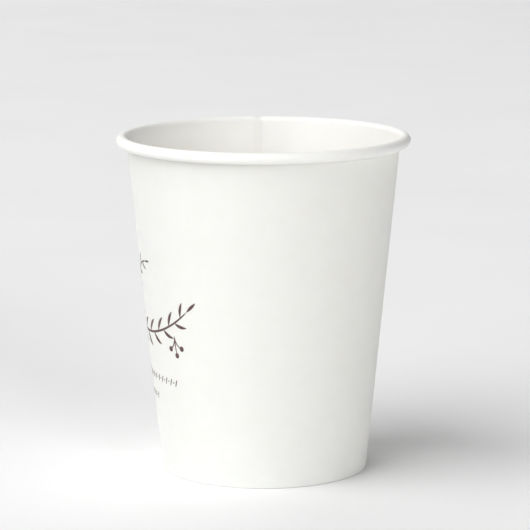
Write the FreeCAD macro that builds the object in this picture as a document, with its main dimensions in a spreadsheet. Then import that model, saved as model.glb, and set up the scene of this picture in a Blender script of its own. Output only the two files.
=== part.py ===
"""Single-wall paper hot-drink cup, in millimetres, +Z up, standing on Z = 0 with its axis on Z.

The cup is two pieces of coated paperboard. The side wall is one fan-shaped blank rolled into a
cone: its straight edges lap at a heat-sealed seam, its top edge is curled outwards into the rim
bead, and its bottom edge is folded in and up to make the foot. The bottom disc is a drawn cap
whose skirt is sealed between the wall and the leg of that fold, so it hangs clear of the table.

Seen from above, the inner ply starts at the seam and runs clockwise. When it comes round to its
own cut edge it steps outwards by one board thickness, which is the jog, and goes on for the lap
as a second ply outside the first. Both plies keep the same bend centres along the whole section,
so one sketch draws either of them.

Each bend is a construction arc with a chain of equal short flats on it, and the flats are what
turns into the solid. They look round at this size, and they keep the thin board light to mesh,
where a single doughnut-shaped face would take thousands of facets.
"""
import FreeCAD, Part
import math
import os

import Sketcher
from FreeCAD import Placement, Rotation, Vector

SIZES = {  # the driving dimensions: millimetres, and degrees for the angles
    "cup_height": 92.0,
    "rim_diameter": 80.0,  # outside of the bead
    "base_diameter": 56.2,  # outside of the foot
    "board_thickness": 0.35,  # side-wall board with its coating
    "bead_radius": 1.55,  # outside radius of the rim curl
    "tuck_radius": 0.95,  # outside radius where the curl winds into itself
    "tuck_start": 70.0,  # how far below the horizontal the curl tightens to that radius
    "tuck_end": 160.0,  # direction of the blank's raw edge, seen from the tuck's centre
    "fold_radius": 0.05,  # inside radius of the foot's two bends
    "fold_leg": 5.9,  # straight length of the leg folded up inside the foot
    "disc_thickness": 0.30,  # bottom-disc board with its coating
    "disc_level": 8.0,  # height of the disc's upper face
    "disc_bend": 0.45,  # inside radius between the disc and its skirt
    "skirt_end": 0.60,  # height of the skirt's lower edge
    "seam_angle": 90.5,  # direction of the inner ply's cut edge, about Z from +X
    "jog_angle": 3.0,  # turn in which the wall steps out over that edge
    "lap_angle": 12.0,  # turn in which the two plies are sealed together
}

DERIVED = {  # sizes that follow from the driving dimensions: property type and formula
    # centre of the rim curl
    "curl_x": ("Length", "Sizes.rim_diameter / 2 - Sizes.bead_radius"),
    "curl_z": ("Length", "Sizes.cup_height - Sizes.bead_radius"),
    # centre of the foot's bend under the wall
    "foot_x": ("Length", "Sizes.base_diameter / 2 - Sizes.fold_radius - Sizes.board_thickness"),
    "foot_z": ("Length", "Sizes.fold_radius + Sizes.board_thickness"),
    # the wall is tangent to the foot's bend on its outer side and to the curl on its inner side
    "rise": ("Length", "curl_z - foot_z"),
    "spread": ("Length", "curl_x - foot_x"),
    "taper": ("Angle", "atan(spread / rise)"
                       " - asin((Sizes.fold_radius + Sizes.bead_radius) * 1 mm / hypot(spread; rise))"),
    # the foot's two bends leave room for one thickness of skirt between wall and leg
    "foot_gap": ("Length", "(Sizes.disc_thickness - 2 * Sizes.fold_radius) / cos(taper)"),
    # centre of the disc's bend, which puts the skirt against the wall
    "bend_z": ("Length", "Sizes.disc_level - Sizes.disc_bend - Sizes.disc_thickness"),
    "bend_x": ("Length", "foot_x + ((bend_z - foot_z) * sin(taper) + (Sizes.fold_radius"
                         " - Sizes.disc_bend - Sizes.disc_thickness) * 1 mm) / cos(taper)"),
    # centre of the tuck, which is tangent to the curl where it begins
    "tuck_x": ("Length", "(Sizes.bead_radius - Sizes.tuck_radius) * cos(Sizes.tuck_start * 1 deg)"),
    "tuck_z": ("Length", "(Sizes.bead_radius - Sizes.tuck_radius) * sin(Sizes.tuck_start * 1 deg)"),
    # turn of the single ply, from its cut edge round to the jog
    "single_turn": ("Angle", "(360 - Sizes.jog_angle) * 1 deg"),
}

START, END, CENTRE = 1, 2, 3  # the sketcher's numbers for the points of a line or an arc
ORIGIN = (-1, START)  # the sketch's own origin
Y_AXIS = -2  # the sketch's own vertical axis


def make_sizes(doc):
    """Spreadsheet with one named cell for each driving dimension."""
    sheet = doc.addObject("Spreadsheet::Sheet", "Sizes")
    for row, (name, value) in enumerate(SIZES.items(), start=1):
        sheet.set(f"A{row}", name)
        sheet.set(f"B{row}", str(value))
        sheet.setAlias(f"B{row}", name)
    doc.recompute()
    return sheet


def make_derived(doc):
    """Set of named values worked out from the spreadsheet."""
    derived = doc.addObject("App::VarSet", "Derived")
    for name, (kind, formula) in DERIVED.items():
        derived.addProperty(f"App::Property{kind}", name)
        derived.setExpression(name, formula)
        doc.recompute()
    return derived


class Section:
    """A sketch in a plane through the cup's axis: its X is the radius and its Y is the height."""

    def __init__(self, body, name, turn=None, plane="XZ_Plane"):
        """turn is the formula of the plane's angle about the axis; without it the plane stays put."""
        self.sketch = body.newObject("Sketcher::SketchObject", name)
        support = next(f for f in body.Origin.OriginFeatures if f.Role == plane)
        self.sketch.AttachmentSupport = [(support, "")]
        self.sketch.MapMode = "FlatFace"
        if turn:
            self.sketch.AttachmentOffset = Placement(Vector(), Rotation(Vector(0, 1, 0), 1.0))
            self.sketch.setExpression("AttachmentOffset.Rotation.Angle", turn)

    def line(self, start, end):
        return self.sketch.addGeometry(Part.LineSegment(Vector(*start, 0), Vector(*end, 0)))

    def arc(self, centre, radius, start, end):
        """Anticlockwise arc between two directions in radians."""
        circle = Part.Circle(Vector(*centre, 0), Vector(0, 0, 1), radius)
        return self.sketch.addGeometry(Part.ArcOfCircle(circle, start, end))

    def flats(self, arc, centre, radius, stops, counts):
        """Makes an arc a construction line and draws a chain of flats on it, from START to END.

        stops are the directions, in radians, where runs of equal flats meet, the arc's two ends
        included, and counts are the numbers of flats in the runs. A stop between the ends lies
        level with the centre, at the cup's widest, or straight above it, at its highest.
        """
        self.sketch.toggleConstruction(arc)
        corners = [stops[0]]
        for begin, end, count in zip(stops, stops[1:], counts):
            corners += [begin + (end - begin) * (number + 1) / count for number in range(count)]
        points = [at_angle(centre, radius, angle) for angle in corners]
        chain = [self.line(start, end) for start, end in zip(points, points[1:])]
        ties = [Sketcher.Constraint("Coincident", chain[0], START, arc, START),
                Sketcher.Constraint("Coincident", chain[-1], END, arc, END)]
        for one, other in zip(chain, chain[1:]):
            ties.append(Sketcher.Constraint("Coincident", one, END, other, START))
            ties.append(Sketcher.Constraint("PointOnObject", one, END, arc))
        done = 0
        for count in counts:
            for number in range(done + 1, done + count):
                ties.append(Sketcher.Constraint("Equal", chain[number - 1], chain[number]))
            done += count
            if done < len(chain):
                level = abs(math.sin(corners[done])) < 0.5
                ties.append(Sketcher.Constraint("Horizontal" if level else "Vertical",
                                                chain[done - 1], END, arc, CENTRE))
        self.sketch.addConstraint(ties)

    def circle(self, radius):
        return self.sketch.addGeometry(Part.Circle(Vector(), Vector(0, 0, 1), radius))

    def fix(self, kind, *where):
        """A constraint with no number of its own."""
        self.sketch.addConstraint(Sketcher.Constraint(kind, *where))

    def size(self, name, formula, value, kind, *where):
        """A named dimension that follows a formula; value is where it starts."""
        index = self.sketch.addConstraint(Sketcher.Constraint(kind, *where, value))
        self.sketch.renameConstraint(index, name)
        self.sketch.setExpression(f"Constraints.{name}", formula)


def at_angle(centre, radius, angle):
    """The point of a circle in one direction, in radians."""
    return centre[0] + radius * math.cos(angle), centre[1] + radius * math.sin(angle)


def shifted(point, direction, distance):
    return point[0] + direction[0] * distance, point[1] + direction[1] * distance


def draw_ply(body, name, derived, turn, outside):
    """Section of one ply of the blank, from the folded leg, round the foot and up to the curl.

    outside is how many board thicknesses the ply lies outside the inner one, 0 or 1. The side of
    the board that ends up inside the cup is the skin side here, and the other the print side.
    """
    board = SIZES["board_thickness"]
    step = outside * board
    taper = derived.taper.getValueAs("rad").Value
    up = (math.sin(taper), math.cos(taper))
    out = (math.cos(taper), -math.sin(taper))
    foot = (derived.foot_x.Value, derived.foot_z.Value)
    heel = shifted(foot, (-1, 0), derived.foot_gap.Value)
    curl = (derived.curl_x.Value, derived.curl_z.Value)
    tuck = (curl[0] + derived.tuck_x.Value, curl[1] - derived.tuck_z.Value)
    down, wall_side, leg_side = -math.pi / 2, -taper, math.pi - taper
    tuck_start = math.radians(-SIZES["tuck_start"])
    tuck_end = math.radians(SIZES["tuck_end"])

    section = Section(body, name, turn)
    sides = {}
    for side, depth in (("skin", step), ("print", step + board)):
        bend = SIZES["fold_radius"] + depth
        bead = SIZES["bead_radius"] - depth
        tail = SIZES["tuck_radius"] - depth
        leg_foot = shifted(heel, out, -bend)
        leg_top = shifted(leg_foot, up, SIZES["fold_leg"])
        leg = section.line(leg_top, leg_foot)
        heel_bend = section.arc(heel, bend, leg_side, down + 2 * math.pi)
        sole = section.line(at_angle(heel, bend, down), at_angle(foot, bend, down))
        foot_bend = section.arc(foot, bend, down, wall_side)
        wall = section.line(at_angle(foot, bend, wall_side), at_angle(curl, bead, leg_side))
        rim = section.arc(curl, bead, tuck_start, leg_side)
        end = section.arc(tuck, tail, tuck_end, tuck_start + 2 * math.pi)
        for one, one_point, other, other_point in (
            (leg, END, heel_bend, START),
            (heel_bend, END, sole, START),
            (sole, END, foot_bend, START),
            (foot_bend, END, wall, START),
            (wall, END, rim, END),
            (rim, START, end, END),
        ):
            section.fix("Tangent", one, one_point, other, other_point)
        fold_formula = f"Sizes.fold_radius + {outside + (side == 'print')} * Sizes.board_thickness"
        bead_formula = f"Sizes.bead_radius - {outside + (side == 'print')} * Sizes.board_thickness"
        section.size(f"{side}_heel_bend", fold_formula, bend, "Radius", heel_bend)
        section.size(f"{side}_foot_bend", fold_formula, bend, "Radius", foot_bend)
        section.size(f"{side}_bead", bead_formula, bead, "Radius", rim)
        section.flats(heel_bend, heel, bend, (leg_side, down + 2 * math.pi), (2,))
        section.flats(foot_bend, foot, bend, (down, wall_side), (2,))
        section.flats(rim, curl, bead, (tuck_start, 0.0, math.pi / 2, leg_side), (3, 4, 4))
        section.flats(end, tuck, tail, (tuck_end, tuck_start + 2 * math.pi), (4,))
        sides[side] = (leg, heel_bend, foot_bend, wall, rim, end, leg_top, tail, sole)

    leg, heel_bend, foot_bend, wall, rim, end, leg_top, tail, sole = sides["skin"]
    print_leg, print_heel, print_foot, _, print_rim, print_end, print_top, print_tail, _ = sides["print"]
    leg_edge = section.line(leg_top, print_top)
    raw_edge = section.line(at_angle(tuck, tail, tuck_end), at_angle(tuck, print_tail, tuck_end))
    section.fix("Coincident", leg_edge, START, leg, START)
    section.fix("Coincident", leg_edge, END, print_leg, START)
    section.fix("Coincident", raw_edge, START, end, START)
    section.fix("Coincident", raw_edge, END, print_end, START)
    for one, other in ((heel_bend, print_heel), (foot_bend, print_foot), (rim, print_rim), (end, print_end)):
        section.fix("Coincident", one, CENTRE, other, CENTRE)
    section.fix("Horizontal", sole)
    section.fix("Parallel", leg, wall)
    section.fix("Parallel", print_leg, leg)
    section.fix("Perpendicular", leg_edge, leg)
    section.fix("PointOnObject", end, CENTRE, raw_edge)
    section.size("foot_x", "Derived.foot_x", foot[0], "DistanceX", *ORIGIN, foot_bend, CENTRE)
    section.size("foot_z", "Derived.foot_z", foot[1], "DistanceY", *ORIGIN, foot_bend, CENTRE)
    section.size("curl_x", "Derived.curl_x", curl[0], "DistanceX", *ORIGIN, rim, CENTRE)
    section.size("curl_z", "Derived.curl_z", curl[1], "DistanceY", *ORIGIN, rim, CENTRE)
    section.size("foot_gap", "Derived.foot_gap", foot[0] - heel[0],
                 "DistanceX", heel_bend, CENTRE, foot_bend, CENTRE)
    section.size("fold_leg", "Sizes.fold_leg", SIZES["fold_leg"], "Distance", leg)
    section.size("tuck", f"Sizes.tuck_radius - {outside} * Sizes.board_thickness", tail, "Radius", end)
    section.size("tuck_x", "Derived.tuck_x", tuck[0] - curl[0], "DistanceX", rim, CENTRE, end, CENTRE)
    section.size("tuck_end", "(Sizes.tuck_end - 180) * 1 deg", tuck_end - math.pi, "Angle", raw_edge)
    return section.sketch


def revolve(body, name, sketch, turn=None):
    """Turns a section clockwise about the cup's axis by a formula's angle, or all the way."""
    feature = body.newObject("PartDesign::Revolution", name)
    feature.Profile = sketch
    feature.ReferenceAxis = (sketch, ["V_Axis"])
    feature.Reversed = True
    if turn:
        feature.setExpression("Angle", turn)
    return feature


def make_side_wall(doc, derived):
    """The rolled blank: one ply nearly all round, the step over its own edge, and the lap."""
    body = doc.addObject("PartDesign::Body", "sidewall")
    body.Label = "sidewall"
    at_seam = "Sizes.seam_angle * 1 deg"
    past_seam = "(Sizes.seam_angle + Sizes.jog_angle) * 1 deg"
    inner_ply = draw_ply(body, "inner_ply", derived, at_seam, outside=0)
    ply_end = draw_ply(body, "inner_ply_end", derived, past_seam, outside=0)
    outer_ply = draw_ply(body, "outer_ply", derived, at_seam, outside=1)
    doc.recompute()
    revolve(body, "single_wall", inner_ply, "Derived.single_turn")
    doc.recompute()
    jog = body.newObject("PartDesign::AdditiveLoft", "jog")
    jog.Profile = ply_end
    jog.Sections = [outer_ply]
    jog.Ruled = True
    doc.recompute()
    revolve(body, "lap", outer_ply, "Sizes.lap_angle * 1 deg")
    doc.recompute()
    press_foot_flat(doc, body)
    return body


def press_foot_flat(doc, body):
    """Takes off what the second ply adds below Z = 0, where the sealing tool presses it flat."""
    section = Section(body, "table_disc", plane="XY_Plane")
    disc = section.circle(SIZES["base_diameter"])
    section.fix("Coincident", disc, CENTRE, *ORIGIN)
    section.size("table_disc", "Sizes.base_diameter", SIZES["base_diameter"], "Radius", disc)
    doc.recompute()
    before = body.Shape.Volume
    pressed = body.newObject("PartDesign::Pocket", "pressed_foot")
    pressed.Profile = section.sketch
    pressed.setExpression("Length", "2 * Sizes.board_thickness")
    doc.recompute()
    if body.Shape.Volume > before - 0.5:
        raise RuntimeError("the pocket under the foot took nothing away")


def make_bottom_disc(doc, derived):
    """The drawn cap: a flat disc, one bend, and a skirt that lies against the wall."""
    body = doc.addObject("PartDesign::Body", "bottom_disc")
    body.Label = "bottom_disc"
    board = SIZES["disc_thickness"]
    level = SIZES["disc_level"]
    taper = derived.taper.getValueAs("rad").Value
    down = (-math.sin(taper), -math.cos(taper))
    bend = (derived.bend_x.Value, derived.bend_z.Value)
    length = (bend[1] - SIZES["skirt_end"]) / math.cos(taper)
    section = Section(body, "disc_section")
    sides = {}
    for side, radius in (("lower", SIZES["disc_bend"]), ("upper", SIZES["disc_bend"] + board)):
        height = level - board if side == "lower" else level
        flat = section.line((0, height), (bend[0], height))
        corner = section.arc(bend, radius, -taper, math.pi / 2)
        skirt_top = at_angle(bend, radius, -taper)
        skirt = section.line(skirt_top, shifted(skirt_top, down, length))
        section.fix("Tangent", flat, END, corner, END)
        section.fix("Tangent", corner, START, skirt, START)
        section.fix("PointOnObject", flat, START, Y_AXIS)
        section.flats(corner, bend, radius, (-taper, math.pi / 2), (2,))
        sides[side] = (flat, corner, skirt, skirt_top)
    flat, corner, skirt, skirt_top = sides["lower"]
    top_flat, top_corner, top_skirt, top_skirt_top = sides["upper"]
    middle = section.line((0, level - board), (0, level))
    skirt_edge = section.line(shifted(skirt_top, down, length), shifted(top_skirt_top, down, length))
    section.fix("Coincident", middle, START, flat, START)
    section.fix("Coincident", middle, END, top_flat, START)
    section.fix("Coincident", skirt_edge, START, skirt, END)
    section.fix("Coincident", skirt_edge, END, top_skirt, END)
    section.fix("Coincident", corner, CENTRE, top_corner, CENTRE)
    section.fix("Horizontal", top_flat)
    section.fix("Horizontal", flat)
    section.fix("Parallel", skirt, top_skirt)
    section.fix("Perpendicular", skirt_edge, skirt)
    section.size("bend_x", "Derived.bend_x", bend[0], "DistanceX", *ORIGIN, corner, CENTRE)
    section.size("level", "Sizes.disc_level", level, "DistanceY", *ORIGIN, top_flat, END)
    section.size("bend", "Sizes.disc_bend", SIZES["disc_bend"], "Radius", corner)
    section.size("board", "Sizes.disc_thickness", board, "Distance", skirt_edge)
    section.size("skirt_turn", "-90 deg - Derived.taper", -math.pi / 2 - taper, "Angle", skirt)
    section.size("skirt_end", "Sizes.skirt_end", SIZES["skirt_end"], "DistanceY", *ORIGIN, top_skirt, END)
    doc.recompute()
    revolve(body, "drawn_disc", section.sketch)
    doc.recompute()
    return body


def check_document(doc):
    """Stops on a failed object, an empty or broken shape, or a sketch that can still move."""
    for item in doc.Objects:
        if "Invalid" in item.State or "Error" in item.State:
            raise RuntimeError(f"{item.Name}: {item.getStatusString()}")
        if item.isDerivedFrom("Part::Feature") and (item.Shape.isNull() or not item.Shape.isValid()):
            raise RuntimeError(f"{item.Name}: no usable shape")
        if item.isDerivedFrom("Sketcher::SketchObject") and not item.FullyConstrained:
            raise RuntimeError(f"{item.Name}: the sketch isn't fully constrained")


def export_pieces(bodies):
    """Writes each piece to a STEP file named after its label."""
    os.makedirs("parts", exist_ok=True)
    for body in bodies:
        if len(body.Shape.Solids) != 1:
            raise RuntimeError(f"{body.Label}: {len(body.Shape.Solids)} solids")
        body.Shape.exportStep(f"parts/{body.Label}.step")
        box = body.Shape.optimalBoundingBox()
        print(f"{body.Label}: {body.Shape.Volume:.1f} mm3, {box.XLength:.2f} x {box.YLength:.2f} mm,"
              f" Z {box.ZMin:.3f} to {box.ZMax:.3f}")


def main():
    doc = FreeCAD.newDocument("paper_cup")
    make_sizes(doc)
    derived = make_derived(doc)
    bodies = [make_side_wall(doc, derived), make_bottom_disc(doc, derived)]
    doc.recompute()
    check_document(doc)
    export_pieces(bodies)


main()
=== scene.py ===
"""Looks of a single-wall paper hot-drink cup, in metres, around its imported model.

The cup is two pieces of coated paperboard. The wall is one blank that is rolled into a cone and
lapped at a seam, with its top edge curled outwards and its bottom edge folded in and up. The
bottom is a drawn disc whose skirt is sealed inside that fold. The wall carries a printed sprig.

Angles round the cup are counted as turn, clockwise from above, from the seam's inner cut edge.
"""
import logging
import math
from dataclasses import dataclass
from enum import Enum

import bpy
import numpy as np
from mathutils import Matrix, Vector

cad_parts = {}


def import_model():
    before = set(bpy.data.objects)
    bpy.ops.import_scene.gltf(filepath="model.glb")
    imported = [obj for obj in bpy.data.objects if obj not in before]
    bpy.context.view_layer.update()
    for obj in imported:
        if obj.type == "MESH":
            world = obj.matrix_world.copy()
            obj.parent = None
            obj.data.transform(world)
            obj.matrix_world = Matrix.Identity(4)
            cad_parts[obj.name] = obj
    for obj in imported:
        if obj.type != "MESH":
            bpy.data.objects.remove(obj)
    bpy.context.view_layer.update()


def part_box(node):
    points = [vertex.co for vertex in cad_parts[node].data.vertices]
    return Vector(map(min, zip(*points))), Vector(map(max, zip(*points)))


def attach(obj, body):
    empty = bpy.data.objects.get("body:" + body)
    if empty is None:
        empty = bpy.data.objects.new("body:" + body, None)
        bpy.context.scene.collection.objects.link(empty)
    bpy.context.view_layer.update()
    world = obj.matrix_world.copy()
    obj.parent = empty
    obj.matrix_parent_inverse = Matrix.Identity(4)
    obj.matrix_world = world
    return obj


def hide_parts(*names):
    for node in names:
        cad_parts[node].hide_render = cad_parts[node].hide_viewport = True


log = logging.getLogger("paper_cup")
MM = 0.001
LEG_RUN = 0  # the wall's first run, from the raw edge down to the heel
BLUNT_TIP = 0.06  # a printed stroke's least width, as a share of its full width


# ---------------------------------------------------------------------------------- mesh building


def grid_quads(index: np.ndarray) -> np.ndarray:
    """Quads between neighbouring rows and columns of a grid.

    Args:
        index: vertex numbers, (rows, columns). A face looks along rows x columns.

    Returns:
        Vertex numbers of the faces, (faces, 4).
    """
    corners = (index[:-1, :-1], index[1:, :-1], index[1:, 1:], index[:-1, 1:])
    return np.stack(corners, axis=-1).reshape(-1, 4)


class Shell:
    """A closed mesh that is put together from grids of points."""

    def __init__(self) -> None:
        """Starts with no points and no faces."""
        self.points: list[np.ndarray] = []
        self.maps: list[np.ndarray] = []
        self.faces: list[tuple[np.ndarray, int]] = []
        self.count = 0

    def add_points(self, points: np.ndarray, flat: np.ndarray) -> np.ndarray:
        """Adds a grid of points.

        Args:
            points: places in metres, (rows, columns, 3).
            flat: places on the flattened board in metres, (rows, columns, 2).

        Returns:
            The grid's vertex numbers, (rows, columns).
        """
        rows, columns = points.shape[:2]
        index = self.count + np.arange(rows * columns).reshape(rows, columns)
        self.points.append(points.reshape(-1, 3))
        self.maps.append(flat.reshape(-1, 2))
        self.count += rows * columns
        return index

    def add_faces(self, faces: np.ndarray, finish: int) -> None:
        """Adds faces of one size, (faces, corners), that wear the finish of that number."""
        self.faces.append((faces, finish))

    def build(self, name: str, finishes: list[bpy.types.Material], crease: float = 35.0) -> bpy.types.Object:
        """Makes the object.

        Args:
            name: the piece's name.
            finishes: materials, in the order of the faces' numbers.
            crease: angle between faces, in degrees, past which an edge is shaded sharp.

        Returns:
            The object, with a UV map of the flattened board, in metres.
        """
        points = np.concatenate(self.points)
        flat = np.concatenate(self.maps)
        corners = np.concatenate([faces.ravel() for faces, _ in self.faces])
        sizes = np.concatenate([np.full(len(faces), faces.shape[1]) for faces, _ in self.faces])
        slots = np.concatenate([np.full(len(faces), finish) for faces, finish in self.faces])
        mesh = bpy.data.meshes.new(name)
        mesh.vertices.add(len(points))
        mesh.vertices.foreach_set("co", points.astype(np.float32).ravel())
        mesh.loops.add(len(corners))
        mesh.loops.foreach_set("vertex_index", corners.astype(np.int32))
        mesh.polygons.add(len(sizes))
        mesh.polygons.foreach_set("loop_start", (np.cumsum(sizes) - sizes).astype(np.int32))
        mesh.polygons.foreach_set("material_index", slots.astype(np.int32))
        mesh.polygons.foreach_set("use_smooth", np.ones(len(sizes), dtype=bool))
        mesh.update(calc_edges=True)
        mesh.uv_layers.new(name="flat_board").data.foreach_set("uv", flat[corners].astype(np.float32).ravel())
        mesh.set_sharp_from_angle(angle=math.radians(crease))
        for finish in finishes:
            mesh.materials.append(finish)
        piece = bpy.data.objects.new(name, mesh)
        bpy.context.scene.collection.objects.link(piece)
        return piece


def smooth_step(share: np.ndarray) -> np.ndarray:
    """Rises from 0 to 1 with level ends: three squares less two cubes of the clipped share."""
    share = np.clip(share, 0.0, 1.0)
    return share * share * (3.0 - 2.0 * share)


# ---------------------------------------------------------------------------- section of the board


@dataclass(frozen=True)
class Straight:
    """A straight run of a section, in (radius, height)."""

    start: tuple[float, float]
    end: tuple[float, float]
    steps: int

    def follow(self, share: np.ndarray) -> tuple[np.ndarray, np.ndarray]:
        """Points and side directions along the run: the start plus a share of the run's vector.

        Args:
            share: how far along the run, 0 to 1.

        Returns:
            Points and unit vectors to the right of travel, both (n, 2).
        """
        start, end = np.array(self.start), np.array(self.end)
        along = (end - start) / np.linalg.norm(end - start)
        side = np.array([along[1], -along[0]])
        return start + share[:, None] * (end - start), np.broadcast_to(side, (len(share), 2))

    def length(self) -> float:
        """The distance between the run's ends."""
        return math.dist(self.start, self.end)


@dataclass(frozen=True)
class Bend:
    """A round run of a section. A positive turn is anticlockwise. Angles are in radians."""

    centre: tuple[float, float]
    radius: float
    start: float
    turn: float
    steps: int

    def follow(self, share: np.ndarray) -> tuple[np.ndarray, np.ndarray]:
        """Points and side directions along the bend: the centre plus the radius at each angle.

        Args:
            share: how far along the bend, 0 to 1.

        Returns:
            Points and unit vectors to the right of travel, both (n, 2).
        """
        angle = self.start + self.turn * share
        spoke = np.stack([np.cos(angle), np.sin(angle)], axis=1)
        return np.array(self.centre) + self.radius * spoke, spoke * math.copysign(1.0, self.turn)

    def length(self) -> float:
        """Radius times turn."""
        return self.radius * abs(self.turn)


def follow_runs(runs: list[Straight | Bend]) -> tuple[np.ndarray, np.ndarray, np.ndarray, np.ndarray]:
    """Samples runs that meet end to end.

    Args:
        runs: the runs in order of travel.

    Returns:
        Points (n, 2), unit vectors to the right of travel (n, 2), distance travelled (n,) and the
        number of the run that each point ends or lies in (n,).
    """
    points, sides, travel, owner = [], [], [], []
    done = 0.0
    for number, run in enumerate(runs):
        share = np.linspace(0.0, 1.0, run.steps + 1)[(1 if number else 0):]
        at, side = run.follow(share)
        points.append(at)
        sides.append(side)
        travel.append(done + share * run.length())
        owner.append(np.full(len(share), number))
        done += run.length()
    return np.concatenate(points), np.concatenate(sides), np.concatenate(travel), np.concatenate(owner)


# ------------------------------------------------------------------------------------ cup's sizes


@dataclass(frozen=True)
class CupSizes:
    """Sizes that both pieces share, in metres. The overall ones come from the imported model."""

    height: float
    rim_radius: float
    disc_top: float
    skirt_end: float
    foot_radius: float = 28.1 * MM
    board: float = 0.35 * MM
    disc_board: float = 0.30 * MM
    bead: float = 1.55 * MM
    tuck: float = 0.95 * MM
    tuck_start: float = 70.0
    tuck_end: float = 160.0
    fold: float = 0.05 * MM
    fold_leg: float = 5.9 * MM
    disc_bend: float = 0.45 * MM
    seam: float = 90.5
    jog: float = 4.5
    lap: float = 12.0
    seam_peak: float = 0.60 * MM
    seam_fade: float = 8.0
    oval: float = 0.10 * MM
    oval_lead: float = 40.0
    stiff_share: float = 0.6

    @classmethod
    def from_frame(cls) -> "CupSizes":
        """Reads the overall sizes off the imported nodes."""
        low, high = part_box("sidewall")
        disc_low, disc_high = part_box("bottom_disc")
        return cls(height=high[2], rim_radius=(high[0] - low[0]) / 2, disc_top=disc_high[2],
                   skirt_end=disc_low[2])

    @property
    def curl(self) -> tuple[float, float]:
        """Centre of the rim's curl, in (radius, height)."""
        return self.rim_radius - self.bead, self.height - self.bead

    @property
    def foot(self) -> tuple[float, float]:
        """Centre of the foot's bend under the wall, in (radius, height)."""
        return self.foot_radius - self.fold - self.board, self.fold + self.board

    @property
    def taper(self) -> float:
        """Slope of the wall, in radians, which is tangent to the foot's bend and to the curl."""
        spread, rise = self.curl[0] - self.foot[0], self.curl[1] - self.foot[1]
        return math.atan2(spread, rise) - math.asin((self.fold + self.bead) / math.hypot(spread, rise))

    @property
    def wall_up(self) -> np.ndarray:
        """Unit vector up the wall, in (radius, height)."""
        return np.array([math.sin(self.taper), math.cos(self.taper)])

    @property
    def wall_out(self) -> np.ndarray:
        """Unit vector square to the wall, outwards, in (radius, height)."""
        return np.array([math.cos(self.taper), -math.sin(self.taper)])

    def turn_to_angle(self, turn: np.ndarray) -> np.ndarray:
        """Angle about +Z from +X, in radians, of a turn in degrees clockwise from the seam."""
        return np.radians(self.seam - turn)

    def out_of_round(self, turn: np.ndarray, height: np.ndarray) -> np.ndarray:
        """How far the wall strays from a true cone, in metres, outwards.

        The board stays stiff and nearly straight beside the lap, so the wall comes to a soft peak
        there: a height that falls off by an exponential of the turn from the seam. A slow double
        wave adds the slight oval of a squeezed cup. Both fade to nothing at the disc.

        Args:
            turn: degrees clockwise from the seam.
            height: height above the table in metres.

        Returns:
            Offsets in metres, in the shape that the arguments broadcast to.
        """
        away = np.abs((turn + 180.0) % 360.0 - 180.0)
        peak = self.seam_peak * np.exp(-away / self.seam_fade)
        oval = self.oval * np.cos(np.radians(2.0 * turn + self.oval_lead))
        free = smooth_step((height - self.disc_top) / (self.stiff_share * self.height))
        return (peak + oval) * free


# ---------------------------------------------------------------------------------------- finishes


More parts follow.
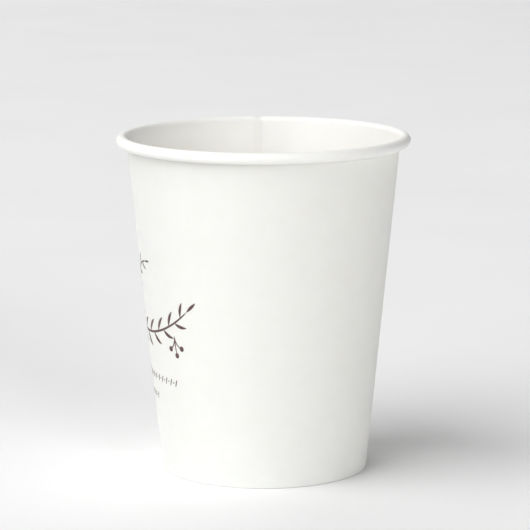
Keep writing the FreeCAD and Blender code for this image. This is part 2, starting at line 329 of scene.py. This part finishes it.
class Bench:
    """One material being put together from nodes."""

    def __init__(self, name: str) -> None:
        """Makes the material with its surface shader and the piece's own coordinates."""
        self.material = bpy.data.materials.new(name)
        self.material.use_nodes = True
        self.tree = self.material.node_tree
        self.shader = self.tree.nodes["Principled BSDF"]
        self.coordinates = self.tree.nodes.new("ShaderNodeTexCoord")

    def add(self, kind: str, inputs: dict | None = None, **settings: object) -> bpy.types.Node:
        """Adds a node.

        Args:
            kind: the node's type, without its ShaderNode prefix.
            inputs: for each input, by name or number, a value or the socket that feeds it.
            settings: the node's own properties.

        Returns:
            The node.
        """
        node = self.tree.nodes.new("ShaderNode" + kind)
        for name, value in settings.items():
            setattr(node, name, value)
        for name, value in (inputs or {}).items():
            self.feed(node.inputs[name], value)
        return node

    def feed(self, socket: bpy.types.NodeSocket, value: object) -> None:
        """Sets an input to a value, or wires it to the socket that feeds it."""
        if isinstance(value, bpy.types.NodeSocket):
            self.tree.links.new(value, socket)
        else:
            socket.default_value = value

    def noise(self, grain: float, stretch: tuple[float, float, float] = (1.0, 1.0, 1.0),
              turn: float = 0.0, detail: float = 2.0) -> bpy.types.NodeSocket:
        """Soft random pattern, 0 to 1.

        Args:
            grain: size of its patches, in metres.
            stretch: how many times longer they are along each axis.
            turn: turns the stretched pattern about X, in degrees.
            detail: number of finer octaves.

        Returns:
            The socket that gives it.
        """
        scale = tuple(1.0 / each for each in stretch)
        placed = self.add("Mapping", {"Vector": self.coordinates.outputs["Object"],
                                      "Rotation": (math.radians(turn), math.radians(turn) / 2, 0.0),
                                      "Scale": scale})
        texture = self.add("TexNoise", {"Vector": placed.outputs["Vector"], "Scale": 1.0 / grain,
                                        "Detail": detail, "Roughness": 0.55})
        return texture.outputs["Fac"]

    def span(self, value: bpy.types.NodeSocket, low: float, high: float) -> bpy.types.NodeSocket:
        """Carries a pattern's middle range, 0.3 to 0.7, to the range low to high."""
        node = self.add("MapRange", {"Value": value, "From Min": 0.3, "From Max": 0.7,
                                     "To Min": low, "To Max": high})
        return node.outputs["Result"]

    def blend(self, share: object, one: object, other: object) -> bpy.types.NodeSocket:
        """Mixes two colours, each a socket or (r, g, b), by a share."""
        node = self.add("Mix", data_type="RGBA")
        colours = [each if isinstance(each, bpy.types.NodeSocket) else (*each, 1.0) for each in (one, other)]
        self.feed(node.inputs["Factor"], share)
        self.feed(node.inputs[6], colours[0])
        self.feed(node.inputs[7], colours[1])
        return node.outputs[2]

    def total(self, one: bpy.types.NodeSocket, other: bpy.types.NodeSocket) -> bpy.types.NodeSocket:
        """The sum of two patterns."""
        return self.add("Math", {0: one, 1: other}, operation="ADD").outputs["Value"]

    def relief(self, pattern: bpy.types.NodeSocket, depth: float) -> None:
        """Gives the surface a relief of that depth in metres, high where the pattern is 1."""
        node = self.add("Bump", {"Height": pattern, "Distance": depth, "Strength": 1.0})
        self.tree.links.new(node.outputs["Normal"], self.shader.inputs["Normal"])

    def dress(self, **inputs: object) -> bpy.types.Material:
        """Sets or wires the shader's inputs, with _ for each space, and returns the material."""
        for name, value in inputs.items():
            self.feed(self.shader.inputs[name.replace("_", " ")], value)
        return self.material


def darker(colour: tuple[float, float, float], share: float) -> tuple[float, float, float]:
    """A colour with that share of its light taken away."""
    return tuple(each * (1.0 - share) for each in colour)


@dataclass(frozen=True)
class BoardFinish:
    """Bleached cupstock: cloudy at the scale of millimetres, with fine crossed fibres."""

    name: str
    colour: tuple[float, float, float]
    cloud: float
    roughness: float
    fibre_depth: float
    gloss: float
    glow: float = 0.35

    def material(self) -> bpy.types.Material:
        """Clouds shade the colour and move the roughness a little, and fibres make the relief."""
        bench = Bench(self.name)
        cloud = bench.noise(grain=5.0 * MM, detail=3.0)
        level_fibres = bench.noise(grain=0.22 * MM, stretch=(5.0, 5.0, 1.0), turn=8.0)
        upright_fibres = bench.noise(grain=0.22 * MM, stretch=(1.0, 1.0, 6.0), turn=-14.0)
        fibres = bench.total(level_fibres, upright_fibres)
        colour = bench.blend(bench.span(cloud, 0.0, 1.0), self.colour, darker(self.colour, self.cloud))
        bench.relief(fibres, self.fibre_depth)
        return bench.dress(Base_Color=colour, Specular_IOR_Level=self.gloss,
                           Roughness=bench.span(cloud, self.roughness - 0.04, self.roughness + 0.04),
                           Subsurface_Weight=self.glow, Subsurface_Scale=0.5 * MM,
                           Subsurface_Radius=(1.0, 0.85, 0.70))


@dataclass(frozen=True)
class CutEdgeFinish:
    """The board's raw edge: creamier than its faces, with the layers of pulp showing as streaks."""

    name: str = "raw_cut_edge"
    colour: tuple[float, float, float] = (0.78, 0.72, 0.62)

    def material(self) -> bpy.types.Material:
        """Fine pulp noise shades the colour and roughens the surface."""
        bench = Bench(self.name)
        pulp = bench.noise(grain=0.10 * MM, detail=4.0)
        colour = bench.blend(bench.span(pulp, 0.0, 1.0), self.colour, darker(self.colour, 0.18))
        bench.relief(pulp, 0.03 * MM)
        return bench.dress(Base_Color=colour, Roughness=0.85)


@dataclass(frozen=True)
class InkFinish:
    """One pass of plate ink: nearly solid, thinner where the board's fibres stand up."""

    name: str = "russet_ink"
    colour: tuple[float, float, float] = (0.088, 0.040, 0.037)

    def material(self) -> bpy.types.Material:
        """Fine noise lightens the ink in specks, and slow noise shifts the whole coat."""
        bench = Bench(self.name)
        coat = bench.noise(grain=1.6 * MM, detail=2.0)
        specks = bench.noise(grain=0.12 * MM, detail=3.0)
        thin = (0.19, 0.115, 0.105)
        colour = bench.blend(bench.span(coat, 0.0, 0.45), self.colour, thin)
        colour = bench.blend(bench.span(specks, -0.6, 0.4), colour, thin)
        return bench.dress(Base_Color=colour, Roughness=0.55)


@dataclass(frozen=True)
class TableFinish:
    """A plain pale studio surface."""

    name: str = "studio_floor"
    colour: tuple[float, float, float] = (0.96, 0.96, 0.96)

    def material(self) -> bpy.types.Material:
        """A faint cloud keeps it from being one flat tone."""
        bench = Bench(self.name)
        cloud = bench.noise(grain=90.0 * MM, detail=3.0)
        colour = bench.blend(bench.span(cloud, 0.0, 1.0), self.colour, darker(self.colour, 0.03))
        return bench.dress(Base_Color=colour, Roughness=0.9, Specular_IOR_Level=0.15)


# -------------------------------------------------------------------------------------- side wall


@dataclass
class SideWall:
    """The rolled blank, one sheet of board from its inner cut edge to its outer one."""

    cup: CupSizes
    columns_per_degree: float = 1.25
    rib_pitch: float = 4.0
    rib_depth: float = 0.20
    rib_start: float = 0.5 * MM
    jog_closeness: float = 3.0
    pressed_boards: float = 2.5

    def runs(self) -> list[Straight | Bend]:
        """The inner ply's skin side, which faces the drink, as runs that meet end to end."""
        cup = self.cup
        out, up, taper = cup.wall_out, cup.wall_up, cup.taper
        foot, curl = np.array(cup.foot), np.array(cup.curl)
        gap = (cup.disc_board - 2.0 * cup.fold) / math.cos(taper)
        heel = foot - np.array([gap, 0.0])
        leg_foot = heel - cup.fold * out
        tight = math.radians(-cup.tuck_start)
        tuck = curl + (cup.bead - cup.tuck) * np.array([math.cos(tight), math.sin(tight)])
        drop = np.array([0.0, cup.fold])
        quarter = math.pi / 2
        return [
            Straight(tuple(leg_foot + cup.fold_leg * up), tuple(leg_foot), steps=7),
            Bend(tuple(heel), cup.fold, math.pi - taper, quarter + taper, steps=4),
            Straight(tuple(heel - drop), tuple(foot - drop), steps=1),
            Bend(tuple(foot), cup.fold, -quarter, quarter - taper, steps=4),
            Straight(tuple(foot + cup.fold * out), tuple(curl - cup.bead * out), steps=26),
            Bend(tuple(curl), cup.bead, math.pi - taper, tight + taper - math.pi, steps=24),
            Bend(tuple(tuck), cup.tuck, tight, math.radians(cup.tuck_end) - 2.0 * math.pi - tight, steps=12),
        ]

    def turns(self) -> np.ndarray:
        """Turns of the blank's columns, in degrees: even, but three times closer over the jog."""
        cup = self.cup
        jog_start, jog_end, end = 360.0 - cup.jog, 360.0, 360.0 + cup.lap
        single = np.linspace(0.0, jog_start, round(jog_start * self.columns_per_degree) + 1)
        jog_columns = round(self.jog_closeness * cup.jog * self.columns_per_degree)
        jog = np.linspace(jog_start, jog_end, jog_columns + 1)
        lap = np.linspace(jog_end, end, round(cup.lap * self.columns_per_degree) + 1)
        return np.concatenate([single, jog[1:], lap[1:]])

    def pressed(self, turn: np.ndarray, height: np.ndarray) -> np.ndarray:
        """Heights at the foot, where two plies are pressed into the room of one.

        A pinch of 1 under the lap, fading over the jog's width on both sides, carries heights from
        one board below the table up to a few boards above it into what is left above the table.

        Args:
            turn: degrees clockwise from the seam.
            height: unpressed heights in metres.

        Returns:
            Heights in metres, none of them below the table.
        """
        cup = self.cup
        place = (turn + 180.0) % 360.0 - 180.0
        pinch = smooth_step((place + cup.jog) / cup.jog) * smooth_step((cup.lap + cup.jog - place) / cup.jog)
        top, sunk = self.pressed_boards * cup.board, cup.board * pinch
        squeezed = (height + sunk) * top / (top + sunk)
        return np.where(height < top, squeezed, height)

    def layer(self, turn: np.ndarray, depth: np.ndarray) -> np.ndarray:
        """Points of one layer of the sheet.

        Each point is the skin's section moved square to itself by the depth, pressed at the foot,
        pushed out where the cup isn't round, and swung round the axis to its turn.

        Args:
            turn: degrees clockwise from the seam, (columns,).
            depth: how far below the inner ply's skin side, in metres, (columns, section points).

        Returns:
            Places in metres, (columns, section points, 3).
        """
        section, side, _, _ = follow_runs(self.runs())
        flat = section[None] + depth[..., None] * side[None]
        height = self.pressed(turn[:, None], flat[..., 1])
        radius = flat[..., 0] + self.cup.out_of_round(turn[:, None], height)
        angle = self.cup.turn_to_angle(turn)[:, None]
        return np.stack([radius * np.cos(angle), radius * np.sin(angle), height], axis=-1)

    def make(self, skin: bpy.types.Material, face: bpy.types.Material,
             edge: bpy.types.Material) -> bpy.types.Object:
        """Makes the wall.

        Args:
            skin: finish of the side that faces the drink and comes round outside the curl.
            face: finish of the printed side.
            edge: finish of the raw edges.

        Returns:
            The piece.
        """
        cup = self.cup
        turn = self.turns()
        section, _, travel, owner = follow_runs(self.runs())
        step_out = cup.board * smooth_step((turn - (360.0 - cup.jog)) / cup.jog)
        ribs = 0.5 - 0.5 * np.cos(np.radians(turn * 360.0 / self.rib_pitch))
        knurled = (owner == LEG_RUN) & (travel > self.rib_start)
        thickness = cup.board * (1.0 - self.rib_depth * ribs[:, None] * knurled[None])
        depth = np.broadcast_to(step_out[:, None], thickness.shape)
        along = np.radians(turn)[:, None] * cup.foot_radius
        flat = np.stack(np.broadcast_arrays(along, travel[None]), axis=-1)
        shell = Shell()
        skin_side = shell.add_points(self.layer(turn, depth), flat)
        face_side = shell.add_points(self.layer(turn, depth + thickness), flat)
        shell.add_faces(grid_quads(skin_side), 0)
        shell.add_faces(grid_quads(face_side[::-1]), 1)
        shell.add_faces(grid_quads(np.stack([skin_side[0], face_side[0]], axis=1)), 2)
        shell.add_faces(grid_quads(np.stack([face_side[-1], skin_side[-1]], axis=1)), 2)
        shell.add_faces(grid_quads(np.stack([skin_side[:, 0], face_side[:, 0]])), 2)
        shell.add_faces(grid_quads(np.stack([face_side[:, -1], skin_side[:, -1]])), 2)
        piece = shell.build("wall_blank", [skin, face, edge])
        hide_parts("sidewall")
        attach(piece, "root")
        return piece


# ------------------------------------------------------------------------------------ bottom disc


@dataclass
class BottomDisc:
    """The drawn cap that closes the cup: a flat disc, one bend and a skirt against the wall."""

    cup: CupSizes
    columns: int = 360
    cap_radius: float = 0.6 * MM
    dome: float = 0.25 * MM
    pleats: int = 72
    pleat_depth: float = 0.045 * MM
    pleat_start: float = 0.90
    pleat_rise: float = 0.08

    def runs(self) -> tuple[list[Straight | Bend], list[Straight | Bend]]:
        """The upper side from the middle to the skirt's edge, and the lower side from there back."""
        cup = self.cup
        taper, up, out = cup.taper, cup.wall_up, cup.wall_out
        outer = cup.disc_bend + cup.disc_board
        middle_z = cup.disc_top - outer
        rise = middle_z - cup.foot[1]
        middle_r = cup.foot[0] + (rise * math.sin(taper) + cup.fold - outer) / math.cos(taper)
        middle = np.array([middle_r, middle_z])
        outer_top, inner_top = middle + outer * out, middle + cup.disc_bend * out
        drop = (outer_top[1] - cup.skirt_end) / math.cos(taper)
        quarter = math.pi / 2
        under = cup.disc_top - cup.disc_board
        upper = [
            Straight((self.cap_radius, cup.disc_top), (middle[0], cup.disc_top), steps=24),
            Bend(tuple(middle), outer, quarter, -quarter - taper, steps=8),
            Straight(tuple(outer_top), tuple(outer_top - drop * up), steps=8),
        ]
        lower = [
            Straight(tuple(inner_top - drop * up), tuple(inner_top), steps=8),
            Bend(tuple(middle), cup.disc_bend, -taper, quarter + taper, steps=6),
            Straight((middle[0], under), (self.cap_radius, under), steps=24),
        ]
        return upper, lower

    def sweep(self, runs: list[Straight | Bend], shell: Shell) -> np.ndarray:
        """Swings one side's section round the axis.

        The flat of the disc rises in a shallow dome: its height times one less the square of the
        share of the radius. Near the bend and down the skirt the gathered board makes pleats, a
        cosine of the turn.

        Args:
            runs: the side's runs.
            shell: takes the points.

        Returns:
            Vertex numbers, (columns + 1, section points), the last column being the first again.
        """
        cup = self.cup
        section, side, travel, _ = follow_runs(runs)
        turn = np.linspace(0.0, 360.0, self.columns, endpoint=False)[:, None]
        share = section[:, 0] / cup.foot[0]
        height = section[:, 1] + self.dome * np.clip(1.0 - share ** 2, 0.0, 1.0)
        gather = smooth_step((share - self.pleat_start) / self.pleat_rise) * self.pleat_depth
        pleat = gather * (0.5 + 0.5 * np.cos(np.radians(turn * self.pleats)))
        radius = section[:, 0] - pleat
        angle = cup.turn_to_angle(turn)
        points = np.stack([radius * np.cos(angle), radius * np.sin(angle),
                           np.broadcast_to(height - pleat, radius.shape)], axis=-1)
        flat = np.stack(np.broadcast_arrays(np.radians(turn) * cup.foot_radius, travel), axis=-1)
        index = shell.add_points(points, flat)
        return np.concatenate([index, index[:1]])

    def make(self, skin: bpy.types.Material, face: bpy.types.Material,
             edge: bpy.types.Material) -> bpy.types.Object:
        """Makes the disc.

        Args:
            skin: finish of the side that faces the drink.
            face: finish of the underside.
            edge: finish of the skirt's raw edge.

        Returns:
            The piece.
        """
        upper_runs, lower_runs = self.runs()
        shell = Shell()
        upper = self.sweep(upper_runs, shell)
        lower = self.sweep(lower_runs, shell)
        shell.add_faces(grid_quads(upper), 0)
        shell.add_faces(upper[None, :0:-1, 0], 0)
        shell.add_faces(grid_quads(np.stack([upper[:, -1], lower[:, 0]], axis=1)), 2)
        shell.add_faces(grid_quads(lower), 1)
        shell.add_faces(lower[None, :-1, -1], 1)
        piece = shell.build("drawn_bottom", [skin, face, edge])
        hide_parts("bottom_disc")
        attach(piece, "root")
        return piece


# ------------------------------------------------------------------------------------------ print


class Nib(Enum):
    """How a printed stroke's half-width runs along it."""

    STEM = "even, with tapered ends"
    LEAF = "pointed at both ends and full in the middle"
    BERRY = "round"

    def profile(self, share: np.ndarray) -> np.ndarray:
        """The stroke's width along it, as a share of the full width.

        A stem is a level line with square-root ends, a leaf a sine to the power 0.8, and a berry
        a half circle.
        """
        arch = np.clip(1.0 - (2.0 * share - 1.0) ** 2, 0.0, 1.0)
        if self is Nib.LEAF:
            return np.clip(np.sin(math.pi * share), 0.0, 1.0) ** 0.8
        if self is Nib.BERRY:
            return np.sqrt(arch)
        return np.clip(4.0 * arch, 0.0, 1.0) ** 0.5 * (0.7 + 0.3 * np.sin(math.pi * share))


@dataclass(frozen=True)
class Stroke:
    """One printed stroke on the flattened wall, in millimetres: along the wall and up."""

    start: tuple[float, float]
    lean: tuple[float, float]
    end: tuple[float, float]
    width: float
    nib: Nib

    def outline(self, steps: int) -> tuple[np.ndarray, np.ndarray]:
        """Both sides of the stroke, about a centre line that is one quadratic curve.

        Args:
            steps: number of steps along it.

        Returns:
            Left and right points, (steps + 1, 2) each.
        """
        share = np.linspace(0.0, 1.0, steps + 1)[:, None]
        start, lean, end = (np.array(each) for each in (self.start, self.lean, self.end))
        line = (1 - share) ** 2 * start + 2 * share * (1 - share) * lean + share ** 2 * end
        along = 2 * (1 - share) * (lean - start) + 2 * share * (end - lean)
        along = along / np.linalg.norm(along, axis=1, keepdims=True)
        blunt = np.maximum(self.nib.profile(share[:, 0]), BLUNT_TIP)
        half = 0.5 * self.width * blunt[:, None]
        side = np.stack([-along[:, 1], along[:, 0]], axis=1)
        return line + half * side, line - half * side


@dataclass
class PrintedSprig:
    """A leafy branch that winds round the wall, with two rows of small marks under it.

    The sizes of leaves, berries, dots and ticks are in millimetres, as strokes are.
    """

    cup: CupSizes
    middle: float = -132.0
    level: float = 42.0 * MM
    proud: float = 0.030 * MM
    sunk: float = 0.020 * MM
    leaf_width: float = 0.20
    leaf_bow: float = 1.5
    leaf_shrink: float = 0.35
    first_leaf: float = 0.10
    stalk: float = 4.2
    stalk_extra: float = 1.2
    stalk_width: float = 0.34
    first_stalk: float = -115.0
    stalk_step: float = 32.0
    berry: float = 1.5
    mark_pitch: float = 1.15
    dot: float = 0.44
    tick_half: tuple[float, float] = (0.35, 1.0)
    tick_width: float = 0.36

    def branch(self, stem: Stroke, leaves: int, leaf: float, spread: float) -> list[Stroke]:
        """A stem with leaves in turn on either side of it, smaller towards its tip.

        Args:
            stem: the stem's stroke.
            leaves: number of leaves, the last of them at the tip.
            leaf: length of the lowest leaf in millimetres.
            spread: angle between a leaf and the stem in degrees.

        Returns:
            The strokes.
        """
        start, lean, end = (np.array(each) for each in (stem.start, stem.lean, stem.end))
        strokes = [stem]
        for number in range(leaves):
            share = self.first_leaf + (1.0 - self.first_leaf) * number / (leaves - 1)
            root = (1 - share) ** 2 * start + 2 * share * (1 - share) * lean + share ** 2 * end
            along = (1 - share) * (lean - start) + share * (end - lean)
            heading = math.atan2(along[1], along[0])
            side = 0.0 if number == leaves - 1 else math.radians(spread) * (-1.0) ** number
            reach = leaf * (1.0 - self.leaf_shrink * share)
            tip = root + reach * np.array([math.cos(heading + side), math.sin(heading + side)])
            bowed = heading + self.leaf_bow * side
            bow = root + 0.5 * reach * np.array([math.cos(bowed), math.sin(bowed)])
            strokes.append(Stroke(tuple(root), tuple(bow), tuple(tip), self.leaf_width * reach, Nib.LEAF))
        return strokes

    def spot(self, middle: tuple[float, float], size: float) -> Stroke:
        """A round spot of that size about its middle."""
        x, y = middle
        return Stroke((x - size / 2, y), middle, (x + size / 2, y), size, Nib.BERRY)

    def berries(self, start: tuple[float, float], count: int) -> list[Stroke]:
        """A hanging spray of round berries, each on a short stalk that leans a little further.

        Args:
            start: where the stalks spring from, in millimetres.
            count: number of berries.

        Returns:
            The strokes.
        """
        strokes = []
        for number in range(count):
            way = math.radians(self.first_stalk + self.stalk_step * number)
            reach = self.stalk + self.stalk_extra * (number % 2)
            end = (start[0] + reach * math.cos(way), start[1] + reach * math.sin(way))
            bow = (start[0] + 0.2, start[1] - 0.6 * reach)
            strokes.append(Stroke(start, bow, end, self.stalk_width, Nib.STEM))
            strokes.append(self.spot(end, self.berry))
        return strokes

    def ticks(self, start: tuple[float, float], count: int, drop: float) -> list[Stroke]:
        """A row of small slanting ticks and dots by turns.

        Args:
            start: the row's first tick, in millimetres.
            count: number of marks.
            drop: how far each mark sits below the last.

        Returns:
            The strokes.
        """
        across, up = self.tick_half
        strokes = []
        for number in range(count):
            x, y = start[0] + self.mark_pitch * number, start[1] - drop * number
            if number % 2 == 1:
                strokes.append(self.spot((x, y), self.dot))
            else:
                foot, head = (x - across, y - up), (x + across, y + up)
                strokes.append(Stroke(foot, (x - 0.1, y), head, self.tick_width, Nib.STEM))
        return strokes

    def on_wall(self, marks: np.ndarray, proud: float) -> np.ndarray:
        """Lays flat marks on the wall.

        The radius at a height is the printed face's, plus the cup's stray from round, and the
        distance along the wall over that radius is the angle from the print's middle.

        Args:
            marks: (points, 2) in millimetres from the print's middle.
            proud: how far above the printed face, in metres.

        Returns:
            Places in metres, (points, 3).
        """
        cup = self.cup
        height = self.level + marks[:, 1] * MM
        rise = (height - cup.foot[1]) * math.sin(cup.taper)
        radius = cup.foot[0] + (rise + cup.fold + cup.board + proud) / math.cos(cup.taper)
        angle = math.radians(self.middle) + marks[:, 0] * MM / radius
        radius = radius + cup.out_of_round(cup.seam - np.degrees(angle), height)
        return np.stack([radius * np.cos(angle), radius * np.sin(angle), height], axis=1)

    def make(self, name: str, strokes: list[Stroke], ink: bpy.types.Material) -> bpy.types.Object:
        """Makes one printed mark from its strokes, each a thin closed slab on the wall.

        Args:
            name: the piece's name.
            strokes: the strokes.
            ink: their finish.

        Returns:
            The piece.
        """
        shell = Shell()
        for stroke in strokes:
            steps = max(10, round(2.5 * math.dist(stroke.start, stroke.end)))
            sides = np.stack(stroke.outline(steps), axis=1)
            marks = sides.reshape(-1, 2)
            top, bottom = (shell.add_points(self.on_wall(marks, level).reshape(steps + 1, 2, 3), sides * MM)
                           for level in (self.proud, -self.sunk))
            shell.add_faces(grid_quads(top[:, ::-1]), 0)
            shell.add_faces(grid_quads(bottom), 0)
            shell.add_faces(grid_quads(np.stack([top[:, 0], bottom[:, 0]])), 0)
            shell.add_faces(grid_quads(np.stack([bottom[:, 1], top[:, 1]])), 0)
            shell.add_faces(grid_quads(np.stack([bottom[0], top[0]])), 0)
            shell.add_faces(grid_quads(np.stack([top[-1], bottom[-1]])), 0)
        piece = shell.build(name, [ink])
        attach(piece, "root")
        return piece

    def make_all(self, ink: bpy.types.Material) -> list[bpy.types.Object]:
        """Makes the branch with its side twig and berries, and the rows of ticks."""
        stem = Stroke((-44.0, 2.0), (-15.0, -9.0), (1.8, 5.6), 0.62, Nib.STEM)
        sprig = self.branch(stem, leaves=14, leaf=6.6, spread=42.0)
        side_stem = Stroke((-34.0, 4.0), (-26.0, 16.0), (-17.0, 17.0), 0.5, Nib.STEM)
        twig = self.branch(side_stem, leaves=7, leaf=4.6, spread=48.0)
        marks = self.ticks((-25.0, -14.6), count=19, drop=0.02)
        marks += self.ticks((-27.0, -20.0), count=11, drop=0.02)
        return [
            self.make("printed_branch", sprig + twig, ink),
            self.make("printed_berries", self.berries((-3.6, -1.6), count=3), ink),
            self.make("printed_ticks", marks, ink),
        ]


# ----------------------------------------------------------------------------------------- studio


@dataclass(frozen=True)
class Softbox:
    """A square area light that points at the middle of the cup. Angles are in degrees."""

    name: str
    bearing: float
    elevation: float
    distance: float
    size: float
    power: float

    def place(self, target: Vector) -> bpy.types.Object:
        """Puts the light at its bearing about +Z from +X and its elevation, facing the target."""
        bearing, elevation = math.radians(self.bearing), math.radians(self.elevation)
        away = Vector((math.cos(bearing) * math.cos(elevation), math.sin(bearing) * math.cos(elevation),
                       math.sin(elevation)))
        data = bpy.data.lights.new(self.name, "AREA")
        data.shape = "SQUARE"
        data.size = self.size
        data.energy = self.power
        light = bpy.data.objects.new(self.name, data)
        light.location = target + away * self.distance
        light.rotation_euler = away.to_track_quat("Z", "Y").to_euler()
        bpy.context.scene.collection.objects.link(light)
        return light


@dataclass
class Studio:
    """The pale floor, the soft lights and the camera."""

    floor_half: float = 2.5
    distance: float = 0.7849
    camera_height: float = 0.1945
    pitch: float = 10.02
    yaw: float = 0.023
    roll: float = -0.169
    lens: float = 198.05
    sensor: float = 36.0
    near: float = 0.01
    sky: float = 0.02

    def floor(self, finish: bpy.types.Material) -> bpy.types.Object:
        """A level square floor at the cup's foot."""
        half = self.floor_half
        mesh = bpy.data.meshes.new("studio_floor")
        corners = [(-half, -half, 0.0), (half, -half, 0.0), (half, half, 0.0), (-half, half, 0.0)]
        mesh.from_pydata(corners, [], [(0, 1, 2, 3)])
        mesh.materials.append(finish)
        floor = bpy.data.objects.new("studio_floor", mesh)
        bpy.context.scene.collection.objects.link(floor)
        return floor

    def world(self) -> None:
        """An even white surround."""
        world = bpy.data.worlds.new("studio_surround")
        world.use_nodes = True
        background = world.node_tree.nodes["Background"]
        background.inputs["Color"].default_value = (1.0, 1.0, 1.0, 1.0)
        background.inputs["Strength"].default_value = self.sky
        bpy.context.scene.world = world

    def camera(self) -> bpy.types.Object:
        """A long lens in front of the cup, looking slightly down."""
        pitch, yaw, roll = (math.radians(angle) for angle in (self.pitch, self.yaw, self.roll))
        ahead = Vector((math.sin(yaw) * math.cos(pitch), math.cos(yaw) * math.cos(pitch), -math.sin(pitch)))
        level = Vector((math.cos(yaw), -math.sin(yaw), 0.0))
        upright = level.cross(ahead)
        right = math.cos(roll) * level + math.sin(roll) * upright
        top = math.cos(roll) * upright - math.sin(roll) * level
        data = bpy.data.cameras.new("front_camera")
        data.lens = self.lens
        data.sensor_width = self.sensor
        data.clip_start = self.near
        camera = bpy.data.objects.new("front_camera", data)
        camera.matrix_world = Matrix((right, top, -ahead)).transposed().to_4x4()
        camera.location = (0.0, -self.distance, self.camera_height)
        bpy.context.scene.collection.objects.link(camera)
        bpy.context.scene.camera = camera
        return camera

    def lights(self, target: Vector) -> list[bpy.types.Object]:
        """A very broad key from the left front, one from behind and two low fills from the right."""
        boxes = [
            Softbox("key", bearing=213.0, elevation=44.0, distance=7.5, size=9.0, power=735.0),
            Softbox("back_light", bearing=108.0, elevation=35.0, distance=7.5, size=8.0, power=215.0),
            Softbox("low_fill", bearing=300.0, elevation=15.0, distance=7.5, size=3.0, power=206.0),
            Softbox("side_fill", bearing=10.0, elevation=6.0, distance=7.5, size=1.5, power=20.0),
        ]
        return [box.place(target) for box in boxes]


def main() -> None:
    """Builds the cup and its studio."""
    logging.basicConfig(level=logging.INFO, format="%(message)s")
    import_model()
    cup = CupSizes.from_frame()
    face = BoardFinish("uncoated_board", (0.835, 0.837, 0.810), 0.02, 0.65, 0.010 * MM, 0.30).material()
    skin = BoardFinish("coated_board", (0.940, 0.925, 0.892), 0.015, 0.55, 0.005 * MM, 0.35).material()
    edge = CutEdgeFinish().material()
    pieces = [SideWall(cup).make(skin, face, edge), BottomDisc(cup).make(skin, face, edge)]
    pieces += PrintedSprig(cup).make_all(InkFinish().material())
    for piece in pieces:
        log.info("%s: %d faces", piece.name, len(piece.data.polygons))
    studio = Studio()
    studio.floor(TableFinish().material())
    studio.world()
    studio.camera()
    studio.lights(Vector((0.0, 0.0, cup.height / 2)))
    bpy.context.scene.view_settings.view_transform = "Standard"


if __name__ == "__main__":
    main()
